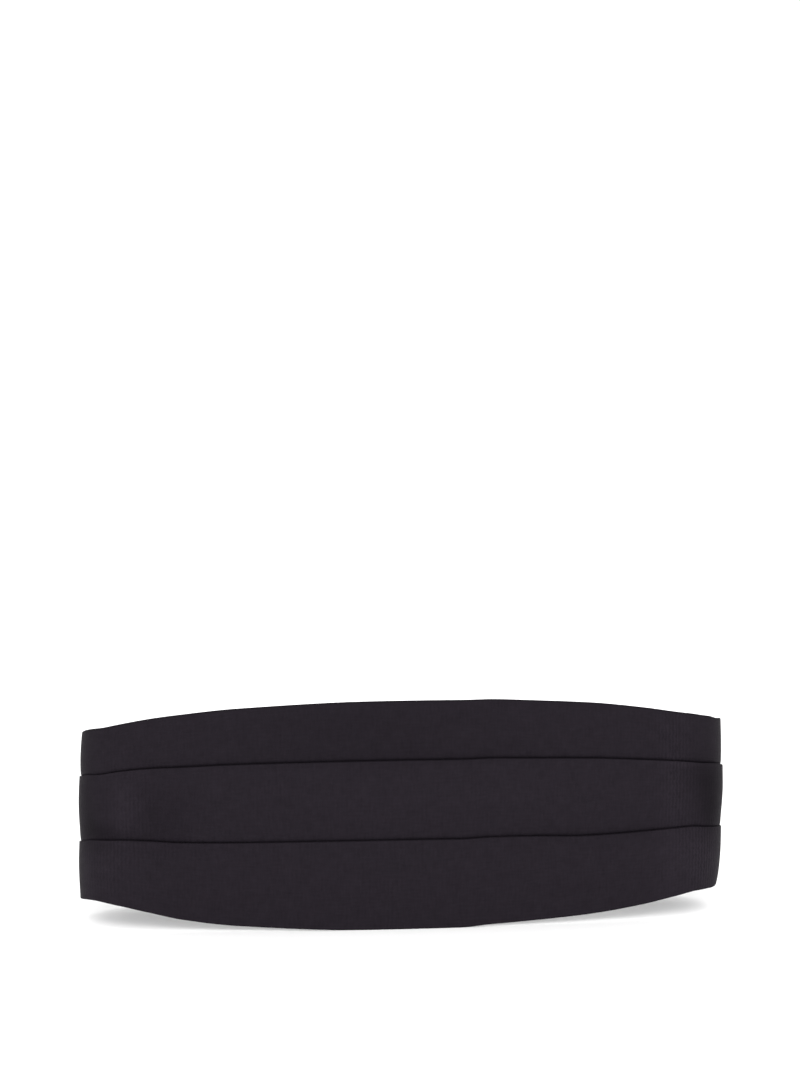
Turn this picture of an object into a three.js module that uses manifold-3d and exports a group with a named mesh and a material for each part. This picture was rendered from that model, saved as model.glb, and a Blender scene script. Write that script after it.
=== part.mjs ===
// A cummerbund: a pleated waist sash, fastened into a ring and standing on its lower edge.
// Millimetres, +Z up. The front faces -Y, and the waist passes through the ring along Z.
//
// Every piece is laid out in ring coordinates and then bent round the ring:
//   along   distance along the waist side of the ring, 0 in the middle of the front,
//           positive towards +X
//   offset  distance outwards from the waist side
//   z       height above the floor

import * as THREE from "three";
import { mergeVertices } from "three/addons/utils/BufferGeometryUtils.js";
import Module from "manifold-3d";

const wasm = await Module();
wasm.setup();

// Plan of the ring, on its waist side: a front arc, two side arcs and a back arc.
const RING_HALF_WIDTH = 180.3;
const FRONT_RADIUS = 720;
const SIDE_RADIUS = 36;
const BACK_RADIUS = 480;

// Pleated front. END_LENGTH is the stretch over which it settles into its end, and
// thickens to hold the strap.
const PANEL_HEIGHT = 126.6;
const BODY_WALL = 2.0;
const PLEAT_WALL = 1.0;
const PLEAT_GAP = 0.3;
const PLEAT_DEPTH = 14;
const SIDE_RISE = 15;
const BARREL_BULGE = 1.1;
const HEM_ROUND = 0.7;
const END_MARGIN = 5;
const END_FACE_WALL = 1.0;
const END_LENGTH = 70;

// Straps, from the ends of the pleated front to the clasp.
const STRAP_WIDTH = 40;
const STRAP_WALL = 1.2;
const STRAP_SPAN = 88;
const STRAP_INSERT = 18;
const STRAP_RISE = 7;
const FOLD_BACK = 27;
const FOLD_RAMP = 8.5;

// Clasp: a plate with a slot at each side for a strap.
const CLASP_WALL = 2.0;
const CLASP_WEB = 18.4;
const CLASP_BAR = 4;
const CLASP_RIM = 3.5;
const CLASP_CORNER = 3;
const SLOT_FREEDOM = 1.3;
const SLOT_CLEARANCE = 0.5;

// What is sewn or threaded together lies this far apart.
const CLEARANCE = 0.3;

// How finely curves are cut up.
const FLAT_STEP = 14;
const STRAP_STEP = 10;
const BEND_STEP = THREE.MathUtils.degToRad(7.5);
const TURN_SEGMENTS = 10;
const ROUND_SEGMENTS = 4;
const HEM_SEGMENTS = 3;
const CORNER_SEGMENTS = 6;
const BAND_SHARES = [0.2, 0.4, 0.6, 0.8];

// Sections of the pleated front, from its left end to its right end.
//   along     share of the panel's half length
//   fullness  share of the way from the height of the end to the full height
//   upper     height of the upper pleat's fold, as a share of the panel's height there
//   lower     height of the lower pleat's fold, as a share of the panel's height there
//   lift      height of the lower edge above the floor, as a share of SIDE_RISE
const SECTIONS = [
  { along: -1.0, fullness: 0.0, upper: 0.73, lower: 0.37, lift: 0.4 },
  { along: -0.78, fullness: 0.36, upper: 0.735, lower: 0.345, lift: 0.66 },
  { along: -0.643, fullness: 0.556, upper: 0.742, lower: 0.338, lift: 0.807 },
  { along: -0.563, fullness: 0.583, upper: 0.739, lower: 0.347, lift: 0.987 },
  { along: -0.516, fullness: 0.643, upper: 0.744, lower: 0.354, lift: 0.913 },
  { along: -0.469, fullness: 0.726, upper: 0.747, lower: 0.366, lift: 0.707 },
  { along: -0.406, fullness: 0.818, upper: 0.748, lower: 0.376, lift: 0.44 },
  { along: -0.313, fullness: 0.905, upper: 0.748, lower: 0.386, lift: 0.213 },
  { along: -0.09, fullness: 0.997, upper: 0.744, lower: 0.394, lift: 0.0 },
  { along: 0.0, fullness: 1.0, upper: 0.744, lower: 0.394, lift: 0.0 },
  { along: 0.07, fullness: 0.998, upper: 0.744, lower: 0.393, lift: 0.0 },
  { along: 0.2, fullness: 0.955, upper: 0.744, lower: 0.387, lift: 0.14 },
  { along: 0.313, fullness: 0.896, upper: 0.742, lower: 0.376, lift: 0.3 },
  { along: 0.406, fullness: 0.805, upper: 0.741, lower: 0.377, lift: 0.513 },
  { along: 0.469, fullness: 0.714, upper: 0.738, lower: 0.374, lift: 0.76 },
  { along: 0.516, fullness: 0.649, upper: 0.734, lower: 0.369, lift: 0.907 },
  { along: 0.563, fullness: 0.594, upper: 0.732, lower: 0.357, lift: 1.0 },
  { along: 0.62, fullness: 0.612, upper: 0.72, lower: 0.355, lift: 0.813 },
  { along: 0.78, fullness: 0.38, upper: 0.725, lower: 0.36, lift: 0.62 },
  { along: 1.0, fullness: 0.0, upper: 0.73, lower: 0.37, lift: 0.4 },
];

// Lengths and angles of the arcs of the ring.
const sideCentreX = RING_HALF_WIDTH - SIDE_RADIUS;
const frontAngle = Math.asin(sideCentreX / (FRONT_RADIUS - SIDE_RADIUS));
const backAngle = Math.asin(sideCentreX / (BACK_RADIUS - SIDE_RADIUS));
const frontLength = FRONT_RADIUS * frontAngle;
const sideLength = SIDE_RADIUS * (Math.PI - frontAngle - backAngle);
const backLength = BACK_RADIUS * backAngle;
const ringHalf = frontLength + sideLength + backLength;
const sideCentreY = FRONT_RADIUS - (FRONT_RADIUS - SIDE_RADIUS) * Math.cos(frontAngle);
const backCentreY = sideCentreY - (BACK_RADIUS - SIDE_RADIUS) * Math.cos(backAngle);

// Sizes that follow from the ones above.
const panelHalf = ringHalf - STRAP_SPAN;
const endWall = 2 * END_FACE_WALL + 2 * CLEARANCE + STRAP_WALL;
const strapOffset = END_FACE_WALL + CLEARANCE + STRAP_WALL / 2;
const turnRadius = CLASP_WALL / 2 + CLEARANCE + STRAP_WALL / 2;
const claspOffset = strapOffset - turnRadius;
const slotWidth = turnRadius + STRAP_WALL / 2 + SLOT_FREEDOM;
const slotHeight = STRAP_WIDTH + 2 * SLOT_CLEARANCE;
const claspHeight = slotHeight + 2 * CLASP_RIM;
const barInner = CLASP_WEB / 2 + slotWidth;
const barOuter = barInner + CLASP_BAR;
const endHeight = STRAP_WIDTH + 2 * END_MARGIN;
const endBottom = claspHeight / 2 + STRAP_RISE - endHeight / 2;

// The point of the plan at a distance along the ring and an offset outwards from it.
function ringPoint(along, offset) {
  const side = along < 0 ? -1 : 1;
  const run = Math.abs(along);
  let turned;
  let centre;
  let radius;
  if (run <= frontLength) {
    turned = run / FRONT_RADIUS;
    centre = [0, FRONT_RADIUS];
    radius = FRONT_RADIUS;
  } else if (run <= frontLength + sideLength) {
    turned = frontAngle + (run - frontLength) / SIDE_RADIUS;
    centre = [sideCentreX, sideCentreY];
    radius = SIDE_RADIUS;
  } else {
    turned = Math.PI - backAngle + (run - frontLength - sideLength) / BACK_RADIUS;
    centre = [0, backCentreY];
    radius = BACK_RADIUS;
  }
  const reach = radius + offset;
  return [
    side * (centre[0] + reach * Math.sin(turned)),
    centre[1] - reach * Math.cos(turned),
  ];
}

// Values from a to b, no further apart than step, with both ends.
function spread(a, b, step) {
  const count = Math.max(1, Math.ceil(Math.abs(b - a) / step - 1e-9));
  return Array.from({ length: count + 1 }, (_, i) => a + ((b - a) * i) / count);
}

const easeInOut = (x) => THREE.MathUtils.smoothstep(x, 0, 1);

// A column of SECTIONS at a share of the panel's half length, by a curve through its rows
// that never swings past them.
function sectionValue(column, share) {
  const rows = SECTIONS;
  const slopes = rows.slice(1).map((row, i) => {
    return (row[column] - rows[i][column]) / (row.along - rows[i].along);
  });
  const tangents = rows.map((_, i) => {
    if (i === 0) return slopes[0];
    if (i === rows.length - 1) return slopes[i - 1];
    const [before, after] = [slopes[i - 1], slopes[i]];
    return before * after <= 0 ? 0 : (2 * before * after) / (before + after);
  });
  const found = rows.findIndex((row) => row.along >= share);
  const k = Math.min(Math.max(found < 0 ? rows.length - 1 : found, 1), rows.length - 1) - 1;
  const span = rows[k + 1].along - rows[k].along;
  const u = (share - rows[k].along) / span;
  return (
    rows[k][column] * (1 + 2 * u) * (1 - u) ** 2 +
    tangents[k] * span * u * (1 - u) ** 2 +
    rows[k + 1][column] * u * u * (3 - 2 * u) +
    tangents[k + 1] * span * u * u * (u - 1)
  );
}

// Heights of the edges and folds of the panel, and its walls, at a place along the ring.
function panelLevels(along) {
  const share = along / panelHalf;
  const fromEnd = panelHalf - Math.abs(along);
  const settling = easeInOut(1 - fromEnd / END_LENGTH);
  const thickening = easeInOut(1 - (fromEnd - STRAP_INSERT) / END_LENGTH);
  const height = endHeight + (PANEL_HEIGHT - endHeight) * sectionValue("fullness", share);
  const lifted = SIDE_RISE * sectionValue("lift", share);
  const bottom = THREE.MathUtils.lerp(lifted, endBottom, settling);
  return {
    bottom,
    top: bottom + height,
    upper: bottom + height * sectionValue("upper", share),
    lower: bottom + height * sectionValue("lower", share),
    wall: THREE.MathUtils.lerp(BODY_WALL, endWall, thickening),
    bulge: BARREL_BULGE * (1 - thickening),
    depth: (PLEAT_DEPTH * height) / PANEL_HEIGHT,
  };
}

// Points of an arc in the plane of a section, from one angle to another.
function arcPoints(centreOffset, centreZ, radius, from, to, segments) {
  return spread(from, to, Math.abs(to - from) / segments).map((angle) => {
    return [centreOffset + radius * Math.cos(angle), centreZ + radius * Math.sin(angle)];
  });
}

// The outline of the panel across the cloth, as [offset, z] points, counterclockwise with
// the offset to the right and z up. The cloth's outside has three bands. The top of each
// of the lower two is a fold that stands over the band above it, with a pocket behind it.
function panelOutline(along) {
  const { bottom, top, upper, lower, wall, bulge, depth } = panelLevels(along);
  const foldRound = PLEAT_WALL / 2;
  const folded = wall + PLEAT_GAP + PLEAT_WALL;
  const hemWall = wall + PLEAT_GAP;
  const hemRound = Math.min(HEM_ROUND, hemWall / 3);
  const hemShoulder = bottom + hemRound;
  const [inward, downward, outward] = [Math.PI, Math.PI * 1.5, Math.PI * 2];

  // Hem, rounded at both corners and flat between them.
  const points = [
    ...arcPoints(hemRound, hemShoulder, hemRound, inward, downward, HEM_SEGMENTS),
    ...arcPoints(hemWall - hemRound, hemShoulder, hemRound, downward, outward, HEM_SEGMENTS),
  ];

  // Lower two bands from the bottom upwards, each with the pocket behind its fold.
  const bands = [
    { from: hemShoulder, fromOffset: hemWall, fold: lower },
    { from: lower, fromOffset: wall, fold: upper },
  ];
  for (const { from, fromOffset, fold } of bands) {
    const shoulder = fold - foldRound;
    for (const u of BAND_SHARES) {
      const offset = THREE.MathUtils.lerp(fromOffset, folded, easeInOut(u));
      points.push([offset, THREE.MathUtils.lerp(from, shoulder, u)]);
    }
    points.push(...arcPoints(folded - foldRound, shoulder, foldRound, 0, Math.PI, ROUND_SEGMENTS));
    points.push([wall + PLEAT_GAP, fold - depth]);
    points.push([wall, fold - depth]);
  }

  // Top band and top edge.
  const topRound = wall / 2;
  const topShoulder = top - topRound;
  for (const u of BAND_SHARES) {
    points.push([wall, THREE.MathUtils.lerp(upper, topShoulder, u)]);
  }
  points.push(...arcPoints(topRound, topShoulder, topRound, 0, Math.PI, ROUND_SEGMENTS));

  // Waist side, from the top down.
  for (const u of BAND_SHARES) {
    points.push([0, THREE.MathUtils.lerp(topShoulder, hemShoulder, u)]);
  }

  // The whole wall bows outwards between its edges.
  return points.map(([offset, z]) => {
    const v = (z - bottom) / (top - bottom);
    return [offset + bulge * 4 * v * (1 - v), z];
  });
}

// A closed body through sections that all have as many points, each a list of [x, y, z].
// A section's points run counterclockwise as seen from the end of the body.
function loft(sections) {
  const count = sections[0].length;
  const positions = sections.flat(2);
  const indices = [];
  for (let i = 0; i + 1 < sections.length; i++) {
    for (let j = 0; j < count; j++) {
      const a = i * count + j;
      const b = i * count + ((j + 1) % count);
      indices.push(a, b, b + count, a, b + count, a + count);
    }
  }
  for (const [i, turned] of [
    [0, true],
    [sections.length - 1, false],
  ]) {
    for (const [a, b, c] of capTriangles(sections[i])) {
      const face = turned ? [a, c, b] : [a, b, c];
      indices.push(...face.map((k) => k + i * count));
    }
  }
  const geometry = new THREE.BufferGeometry();
  geometry.setAttribute("position", new THREE.Float32BufferAttribute(positions, 3));
  geometry.setIndex(indices);
  return geometry;
}

// Triangles that fill a flat or nearly flat section.
function capTriangles(section) {
  const origin = new THREE.Vector3(...section[0]);
  const normal = new THREE.Vector3();
  section.forEach((point, i) => {
    const a = new THREE.Vector3(...point).sub(origin);
    const b = new THREE.Vector3(...section[(i + 1) % section.length]).sub(origin);
    normal.add(a.cross(b));
  });
  normal.normalize();
  const up = new THREE.Vector3(0, 0, 1);
  const right = up.clone().cross(normal).normalize();
  const flat = section.map((point) => {
    const from = new THREE.Vector3(...point).sub(origin);
    return new THREE.Vector2(from.dot(right), from.dot(up));
  });
  return THREE.ShapeUtils.triangulateShape(flat, []);
}

// Places along the panel where its sections stand, from its right end to its left end,
// close together round the sides.
function panelStations() {
  const half = [
    ...spread(0, frontLength, FLAT_STEP),
    ...spread(frontLength, frontLength + sideLength, SIDE_RADIUS * BEND_STEP).slice(1),
    ...spread(frontLength + sideLength, panelHalf, FLAT_STEP).slice(1),
  ];
  return [...half.toReversed(), ...half.slice(1).map((along) => -along)];
}

// The height of the strap's lower edge at a distance from the middle of the clasp.
function strapBottom(fromClasp) {
  const climbed = (fromClasp - barOuter) / (STRAP_SPAN - barOuter);
  return (claspHeight - STRAP_WIDTH) / 2 + STRAP_RISE * Math.max(climbed, 0) ** 2;
}

// The strap's middle line as [distance from the middle of the clasp, offset] points: out of
// the end of the panel, round the clasp's bar and back along itself on the waist side.
function strapPath() {
  const returnOffset = strapOffset - STRAP_WALL - CLEARANCE;
  const rampStart = barOuter + STRAP_WALL;
  const rampEnd = rampStart + FOLD_RAMP;
  const straight = spread(STRAP_SPAN + STRAP_INSERT, barInner, STRAP_STEP);
  const turn = spread(Math.PI / 2, (Math.PI * 3) / 2, Math.PI / TURN_SEGMENTS);
  const ramp = spread(rampStart, rampEnd, FOLD_RAMP / 4);
  return [
    ...straight.slice(0, -1).map((distance) => [distance, strapOffset]),
    ...turn.map((angle) => [
      barInner + turnRadius * Math.cos(angle),
      claspOffset + turnRadius * Math.sin(angle),
    ]),
    ...ramp.map((distance) => {
      const eased = easeInOut((distance - rampStart) / FOLD_RAMP);
      return [distance, THREE.MathUtils.lerp(claspOffset - turnRadius, returnOffset, eased)];
    }),
    ...spread(rampEnd, barOuter + FOLD_BACK, STRAP_STEP)
      .slice(1)
      .map((distance) => [distance, returnOffset]),
  ];
}

// A flat band bent along a path, on one side of the ring: side is 1 for +X and -1 for -X.
function band(path, wall, width, bottomAt, side) {
  const sections = path.map(([distance, offset], i) => {
    const before = path[Math.max(i - 1, 0)];
    const after = path[Math.min(i + 1, path.length - 1)];
    const direction = new THREE.Vector2(after[0] - before[0], after[1] - before[1]).normalize();
    const corner = (across, z) => {
      const shift = (across * wall) / 2;
      const along = side * (ringHalf - (distance - direction.y * shift));
      return [...ringPoint(along, offset + direction.x * shift), z];
    };
    const low = bottomAt(distance);
    const high = low + width;
    const points = [corner(-1, low), corner(1, low), corner(1, high), corner(-1, high)];
    return side > 0 ? points : points.reverse();
  });
  return loft(sections);
}

// The strap on one side.
function strapGeometry(side) {
  return band(strapPath(), STRAP_WALL, STRAP_WIDTH, strapBottom, side);
}

// The space that a strap takes up inside the end of the panel, with its clearance.
function strapSpace(side) {
  const mouth = STRAP_SPAN - STRAP_STEP;
  const deep = STRAP_SPAN + STRAP_INSERT;
  const path = spread(deep, mouth, STRAP_STEP / 2).map((distance) => [distance, strapOffset]);
  path[0][0] = deep + CLEARANCE;
  const wall = STRAP_WALL + 2 * CLEARANCE;
  const width = STRAP_WIDTH + 2 * CLEARANCE;
  return band(path, wall, width, (distance) => strapBottom(distance) - CLEARANCE, side);
}

// A geometry as a solid that can be cut, and back again.
function toSolid(geometry) {
  const bare = new THREE.BufferGeometry();
  bare.setAttribute("position", geometry.getAttribute("position"));
  bare.setIndex(geometry.index);
  const merged = mergeVertices(bare, 1e-4);
  const mesh = new wasm.Mesh({
    numProp: 3,
    vertProperties: merged.getAttribute("position").array,
    triVerts: new Uint32Array(merged.index.array),
  });
  return new wasm.Manifold(mesh);
}

function fromSolid(solid) {
  const { vertProperties, triVerts } = solid.getMesh();
  const geometry = new THREE.BufferGeometry();
  geometry.setAttribute("position", new THREE.Float32BufferAttribute(vertProperties, 3));
  geometry.setIndex(Array.from(triVerts));
  return geometry;
}

// The pleated front, with a mouth in each end for a strap.
function panelGeometry() {
  const sections = panelStations().map((along) => {
    return panelOutline(along).map(([offset, z]) => [...ringPoint(along, offset), z]);
  });
  let panel = toSolid(loft(sections));
  for (const side of [-1, 1]) {
    panel = panel.subtract(toSolid(strapSpace(side)));
  }
  return fromSolid(panel);
}

// A rectangle with round corners, centred on a point.
function roundedRectangle(path, centreX, centreY, width, height, radius) {
  const [left, right] = [centreX - width / 2, centreX + width / 2];
  const [low, high] = [centreY - height / 2, centreY + height / 2];
  path.moveTo(left + radius, low);
  path.lineTo(right - radius, low);
  path.absarc(right - radius, low + radius, radius, -Math.PI / 2, 0);
  path.lineTo(right, high - radius);
  path.absarc(right - radius, high - radius, radius, 0, Math.PI / 2);
  path.lineTo(left + radius, high);
  path.absarc(left + radius, high - radius, radius, Math.PI / 2, Math.PI);
  path.lineTo(left, low + radius);
  path.absarc(left + radius, low + radius, radius, Math.PI, Math.PI * 1.5);
  return path;
}

// The clasp: cut flat, then bent round the back of the ring.
function claspGeometry() {
  const middle = claspHeight / 2;
  const plate = roundedRectangle(
    new THREE.Shape(),
    0,
    middle,
    2 * barOuter,
    claspHeight,
    CLASP_CORNER,
  );
  for (const side of [-1, 1]) {
    const slotMiddle = side * (barInner - slotWidth / 2);
    plate.holes.push(
      roundedRectangle(new THREE.Path(), slotMiddle, middle, slotWidth, slotHeight, SLOT_CLEARANCE),
    );
  }
  const geometry = new THREE.ExtrudeGeometry(plate, {
    depth: CLASP_WALL,
    bevelEnabled: false,
    curveSegments: CORNER_SEGMENTS,
  });
  const position = geometry.getAttribute("position");
  for (let i = 0; i < position.count; i++) {
    const across = position.getX(i);
    const offset = claspOffset + CLASP_WALL / 2 - position.getZ(i);
    const side = across < 0 ? -1 : 1;
    const [x, y] = ringPoint(side * (ringHalf - Math.abs(across)), offset);
    position.setXYZ(i, x, y, position.getY(i));
  }
  geometry.deleteAttribute("normal");
  geometry.deleteAttribute("uv");
  return mergeVertices(geometry, 1e-4);
}

const satin = { color: 0x2b272c, roughness: 0.55, metalness: 0 };

function piece(name, geometry, finish) {
  geometry.computeVertexNormals();
  const mesh = new THREE.Mesh(geometry, new THREE.MeshStandardMaterial(finish));
  mesh.name = name;
  return mesh;
}

const cummerbund = new THREE.Group();
cummerbund.name = "cummerbund";
cummerbund.add(
  piece("pleated_front", panelGeometry(), satin),
  piece("left_strap", strapGeometry(-1), { ...satin, roughness: 0.6 }),
  piece("right_strap", strapGeometry(1), { ...satin, roughness: 0.6 }),
  piece("clasp", claspGeometry(), { color: 0x1c1c1e, roughness: 0.35, metalness: 0.8 }),
);

// The origin is on the floor, under the middle of the ring's footprint.
const footprint = new THREE.Box3().setFromObject(cummerbund);
cummerbund.position.y = -(footprint.min.y + footprint.max.y) / 2;

export default cummerbund;
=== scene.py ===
# Looks of a black pleated cummerbund, fastened into a ring and standing on its lower edge.
# Metres, +Z up, in the CAD model's frame. The front faces -Y.
import math

import bmesh
import bpy
import numpy as np
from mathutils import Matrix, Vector
from mathutils.geometry import tessellate_polygon


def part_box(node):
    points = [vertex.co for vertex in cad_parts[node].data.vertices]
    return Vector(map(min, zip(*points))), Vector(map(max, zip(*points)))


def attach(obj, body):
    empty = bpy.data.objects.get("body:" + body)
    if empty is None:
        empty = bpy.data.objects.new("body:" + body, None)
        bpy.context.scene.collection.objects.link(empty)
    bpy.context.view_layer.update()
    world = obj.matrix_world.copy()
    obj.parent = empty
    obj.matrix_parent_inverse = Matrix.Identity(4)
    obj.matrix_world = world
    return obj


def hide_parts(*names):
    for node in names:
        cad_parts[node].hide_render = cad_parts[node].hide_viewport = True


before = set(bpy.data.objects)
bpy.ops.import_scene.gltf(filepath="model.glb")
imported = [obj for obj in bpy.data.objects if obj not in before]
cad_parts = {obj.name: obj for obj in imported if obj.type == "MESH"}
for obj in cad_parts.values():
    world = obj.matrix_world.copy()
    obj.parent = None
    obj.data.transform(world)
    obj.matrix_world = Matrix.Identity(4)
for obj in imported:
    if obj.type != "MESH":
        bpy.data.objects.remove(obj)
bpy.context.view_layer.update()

MM = 0.001

# Plan of the ring, on its waist side, as in the CAD source.
RING_HALF_WIDTH = 180.3 * MM
FRONT_RADIUS = 720 * MM
SIDE_RADIUS = 36 * MM
BACK_RADIUS = 480 * MM
PLAN_SOFTENING = 6 * MM
PLAN_STEP = 0.25 * MM
NEAR_MIDDLE = 0.01 * MM

# Pleated front, as in the CAD source.
BODY_WALL = 2.0 * MM
PLEAT_DEPTH = 14 * MM
SIDE_RISE = 15 * MM
END_HEIGHT = 50 * MM
END_BOTTOM = 6 * MM
END_WALL = 3.8 * MM
END_LENGTH = 70 * MM

# Straps and clasp, as in the CAD source.
STRAP_WIDTH = 40 * MM
STRAP_WALL = 1.2 * MM
STRAP_SPAN = 88 * MM
STRAP_INSERT = 18 * MM
STRAP_RISE = 7 * MM
STRAP_OFFSET = 1.9 * MM
FOLD_BACK = 27 * MM
FOLD_RAMP = 8.5 * MM
CLEARANCE = 0.3 * MM
CLASP_WALL = 2.0 * MM
CLASP_WEB = 18.4 * MM
CLASP_BAR = 4 * MM
CLASP_RIM = 3.5 * MM
CLASP_CORNER = 3 * MM
CLASP_BEVEL = 0.35 * MM
SLOT_WIDTH = 3.8 * MM
SLOT_HEIGHT = 41 * MM
SLOT_CORNER = 0.5 * MM
LEAST_CORNER = 0.05 * MM

# Cloth as it looks: its flaps, the groove above each fold, the hem, and the turned hem behind.
FLAP_WALL = 0.6 * MM
POCKET_GAP = 0.12 * MM
HEM_OFFSET = 2.4 * MM
CREASE_DEPTH = 1.35 * MM
CREASE_REACH = 0.8 * MM
CREASE_RISE = 0.15 * MM
GROOVE_REACH = 4.5 * MM
UPPER_FOLD_DROP = 0.8 * MM
LOWER_FOLD_DROP = 0.5 * MM
HEM_ROUND = 0.7 * MM
TURNED_HEM = 11 * MM
TURNED_HEM_WALL = 0.35 * MM
TURNED_HEM_STEP = 1.2 * MM

# Where the creases are at their deepest, as a share of the panel's half length, over what share
# they fade from there, and what share of their depth is left.
DEEP_CREASES = 0.5
CREASE_FADE = 0.12
CREASE_LEFT = 0.35

# How soon a band has come out as far as its fold, and a flap has closed on the cloth behind it:
# at one part in so many of the way.
BAND_RISE = 1.4
FLAP_CLOSING = 2.5

# Sections of the pleated front, from its left end to its right end.
#   along     share of the panel's half length
#   fullness  share of the way from the height of the end to the full height
#   upper     height of the upper pleat's fold, as a share of the panel's height there
#   lower     height of the lower pleat's fold, as a share of the panel's height there
#   lift      height of the lower edge above the floor, as a share of SIDE_RISE
SECTIONS = [
    dict(along=-1.0, fullness=0.0, upper=0.73, lower=0.37, lift=0.4),
    dict(along=-0.78, fullness=0.36, upper=0.735, lower=0.35, lift=0.66),
    dict(along=-0.643, fullness=0.57, upper=0.742, lower=0.3485, lift=0.79),
    dict(along=-0.563, fullness=0.597, upper=0.739, lower=0.3575, lift=0.964),
    dict(along=-0.516, fullness=0.656, upper=0.7473, lower=0.366, lift=0.875),
    dict(along=-0.469, fullness=0.7345, upper=0.75, lower=0.3724, lift=0.677),
    dict(along=-0.406, fullness=0.824, upper=0.749, lower=0.379, lift=0.41),
    dict(along=-0.313, fullness=0.9095, upper=0.748, lower=0.386, lift=0.19),
    dict(along=-0.09, fullness=0.9945, upper=0.744, lower=0.394, lift=0.0),
    dict(along=0.0, fullness=0.9975, upper=0.744, lower=0.394, lift=0.0),
    dict(along=0.07, fullness=0.996, upper=0.744, lower=0.393, lift=0.0),
    dict(along=0.13, fullness=0.981, upper=0.743, lower=0.391, lift=0.085),
    dict(along=0.2, fullness=0.953, upper=0.742, lower=0.387, lift=0.16),
    dict(along=0.313, fullness=0.893, upper=0.742, lower=0.375, lift=0.315),
    dict(along=0.406, fullness=0.8015, upper=0.741, lower=0.3752, lift=0.548),
    dict(along=0.469, fullness=0.7157, upper=0.7404, lower=0.374, lift=0.775),
    dict(along=0.516, fullness=0.6575, upper=0.734, lower=0.369, lift=0.915),
    dict(along=0.545, fullness=0.6375, upper=0.7365, lower=0.365, lift=0.91),
    dict(along=0.57, fullness=0.618, upper=0.739, lower=0.3645, lift=0.885),
    dict(along=0.62, fullness=0.602, upper=0.725, lower=0.357, lift=0.85),
    dict(along=0.78, fullness=0.38, upper=0.725, lower=0.36, lift=0.62),
    dict(along=1.0, fullness=0.0, upper=0.73, lower=0.37, lift=0.4),
]

# How far the cloth leans outwards at its edges and folds, in mm.
LEANS = [
    dict(along=-1.0, top=0, upper=0, lower=0, bottom=0),
    dict(along=-0.8, top=0.3, upper=0.6, lower=0.6, bottom=0.5),
    dict(along=-0.62, top=0.5, upper=1.0, lower=1.3, bottom=1.4),
    dict(along=-0.45, top=0.4, upper=0.8, lower=0.9, bottom=0.7),
    dict(along=-0.15, top=1.2, upper=0.6, lower=0.6, bottom=0),
    dict(along=0.1, top=0.9, upper=0.6, lower=0.6, bottom=0),
    dict(along=0.45, top=0.8, upper=0.9, lower=0.7, bottom=0.2),
    dict(along=0.56, top=1.1, upper=1.2, lower=0.8, bottom=-0.6),
    dict(along=0.61, top=1.1, upper=1.2, lower=0.9, bottom=-0.8),
    dict(along=0.8, top=0.4, upper=0.4, lower=0.3, bottom=-0.4),
    dict(along=1.0, top=0, upper=0, lower=0, bottom=0),
]

# How far each fold stands out from the band above it, how far a band's middle puffs out, how deep
# the groove above a fold is, and how far the hem curls in, in mm.
RELIEF = [
    dict(along=-1.0, upper_step=0.8, lower_step=0.8, puff=0, groove=0.1, curl=0),
    dict(along=-0.8, upper_step=0.8, lower_step=0.8, puff=0.2, groove=0.1, curl=0),
    dict(along=-0.62, upper_step=0.8, lower_step=0.8, puff=0.4, groove=0.1, curl=0),
    dict(along=-0.45, upper_step=1.0, lower_step=1.0, puff=0.4, groove=0.4, curl=0),
    dict(along=-0.15, upper_step=1.2, lower_step=1.2, puff=0.3, groove=0.5, curl=0),
    dict(along=0.1, upper_step=1.2, lower_step=1.2, puff=0.3, groove=0.5, curl=0),
    dict(along=0.45, upper_step=1.2, lower_step=1.0, puff=0.3, groove=0.4, curl=0),
    dict(along=0.56, upper_step=1.2, lower_step=0.7, puff=0.2, groove=0.1, curl=0.3),
    dict(along=0.61, upper_step=1.2, lower_step=0.7, puff=0.2, groove=0.0, curl=0.9),
    dict(along=0.8, upper_step=0.8, lower_step=0.8, puff=0.2, groove=0.1, curl=0),
    dict(along=1.0, upper_step=0.8, lower_step=0.8, puff=0, groove=0.1, curl=0),
]
CURL_REACH = 4 * MM

# Waves of the cloth along the panel.
#   out     how far a wave stands out, in mm
#   reach   mm along the ring for each radian
#   turn    radians from the panel's bottom to its top
#   start   radians at the middle of the bottom
WAVES = [
    dict(out=0.16, reach=31, turn=1.7, start=0.4),
    dict(out=0.11, reach=17.3, turn=-2.3, start=2.1),
    dict(out=0.07, reach=10.9, turn=3.1, start=4.0),
]

# Soft dents of the cloth, each the shape of a bell.
#   along   share of the panel's half length
#   up      share of the panel's height there
#   width   reach of the bell along the ring, in mm
#   tall    reach of the bell upwards, in mm
#   out     how far out or, below 0, in, in mm
DENTS = [
    dict(along=-0.475, up=0.45, width=9, tall=32, out=-1.0),
    dict(along=-0.585, up=0.42, width=8, tall=9, out=-0.5),
    dict(along=0.505, up=0.5, width=10, tall=30, out=-0.9),
]

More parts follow.
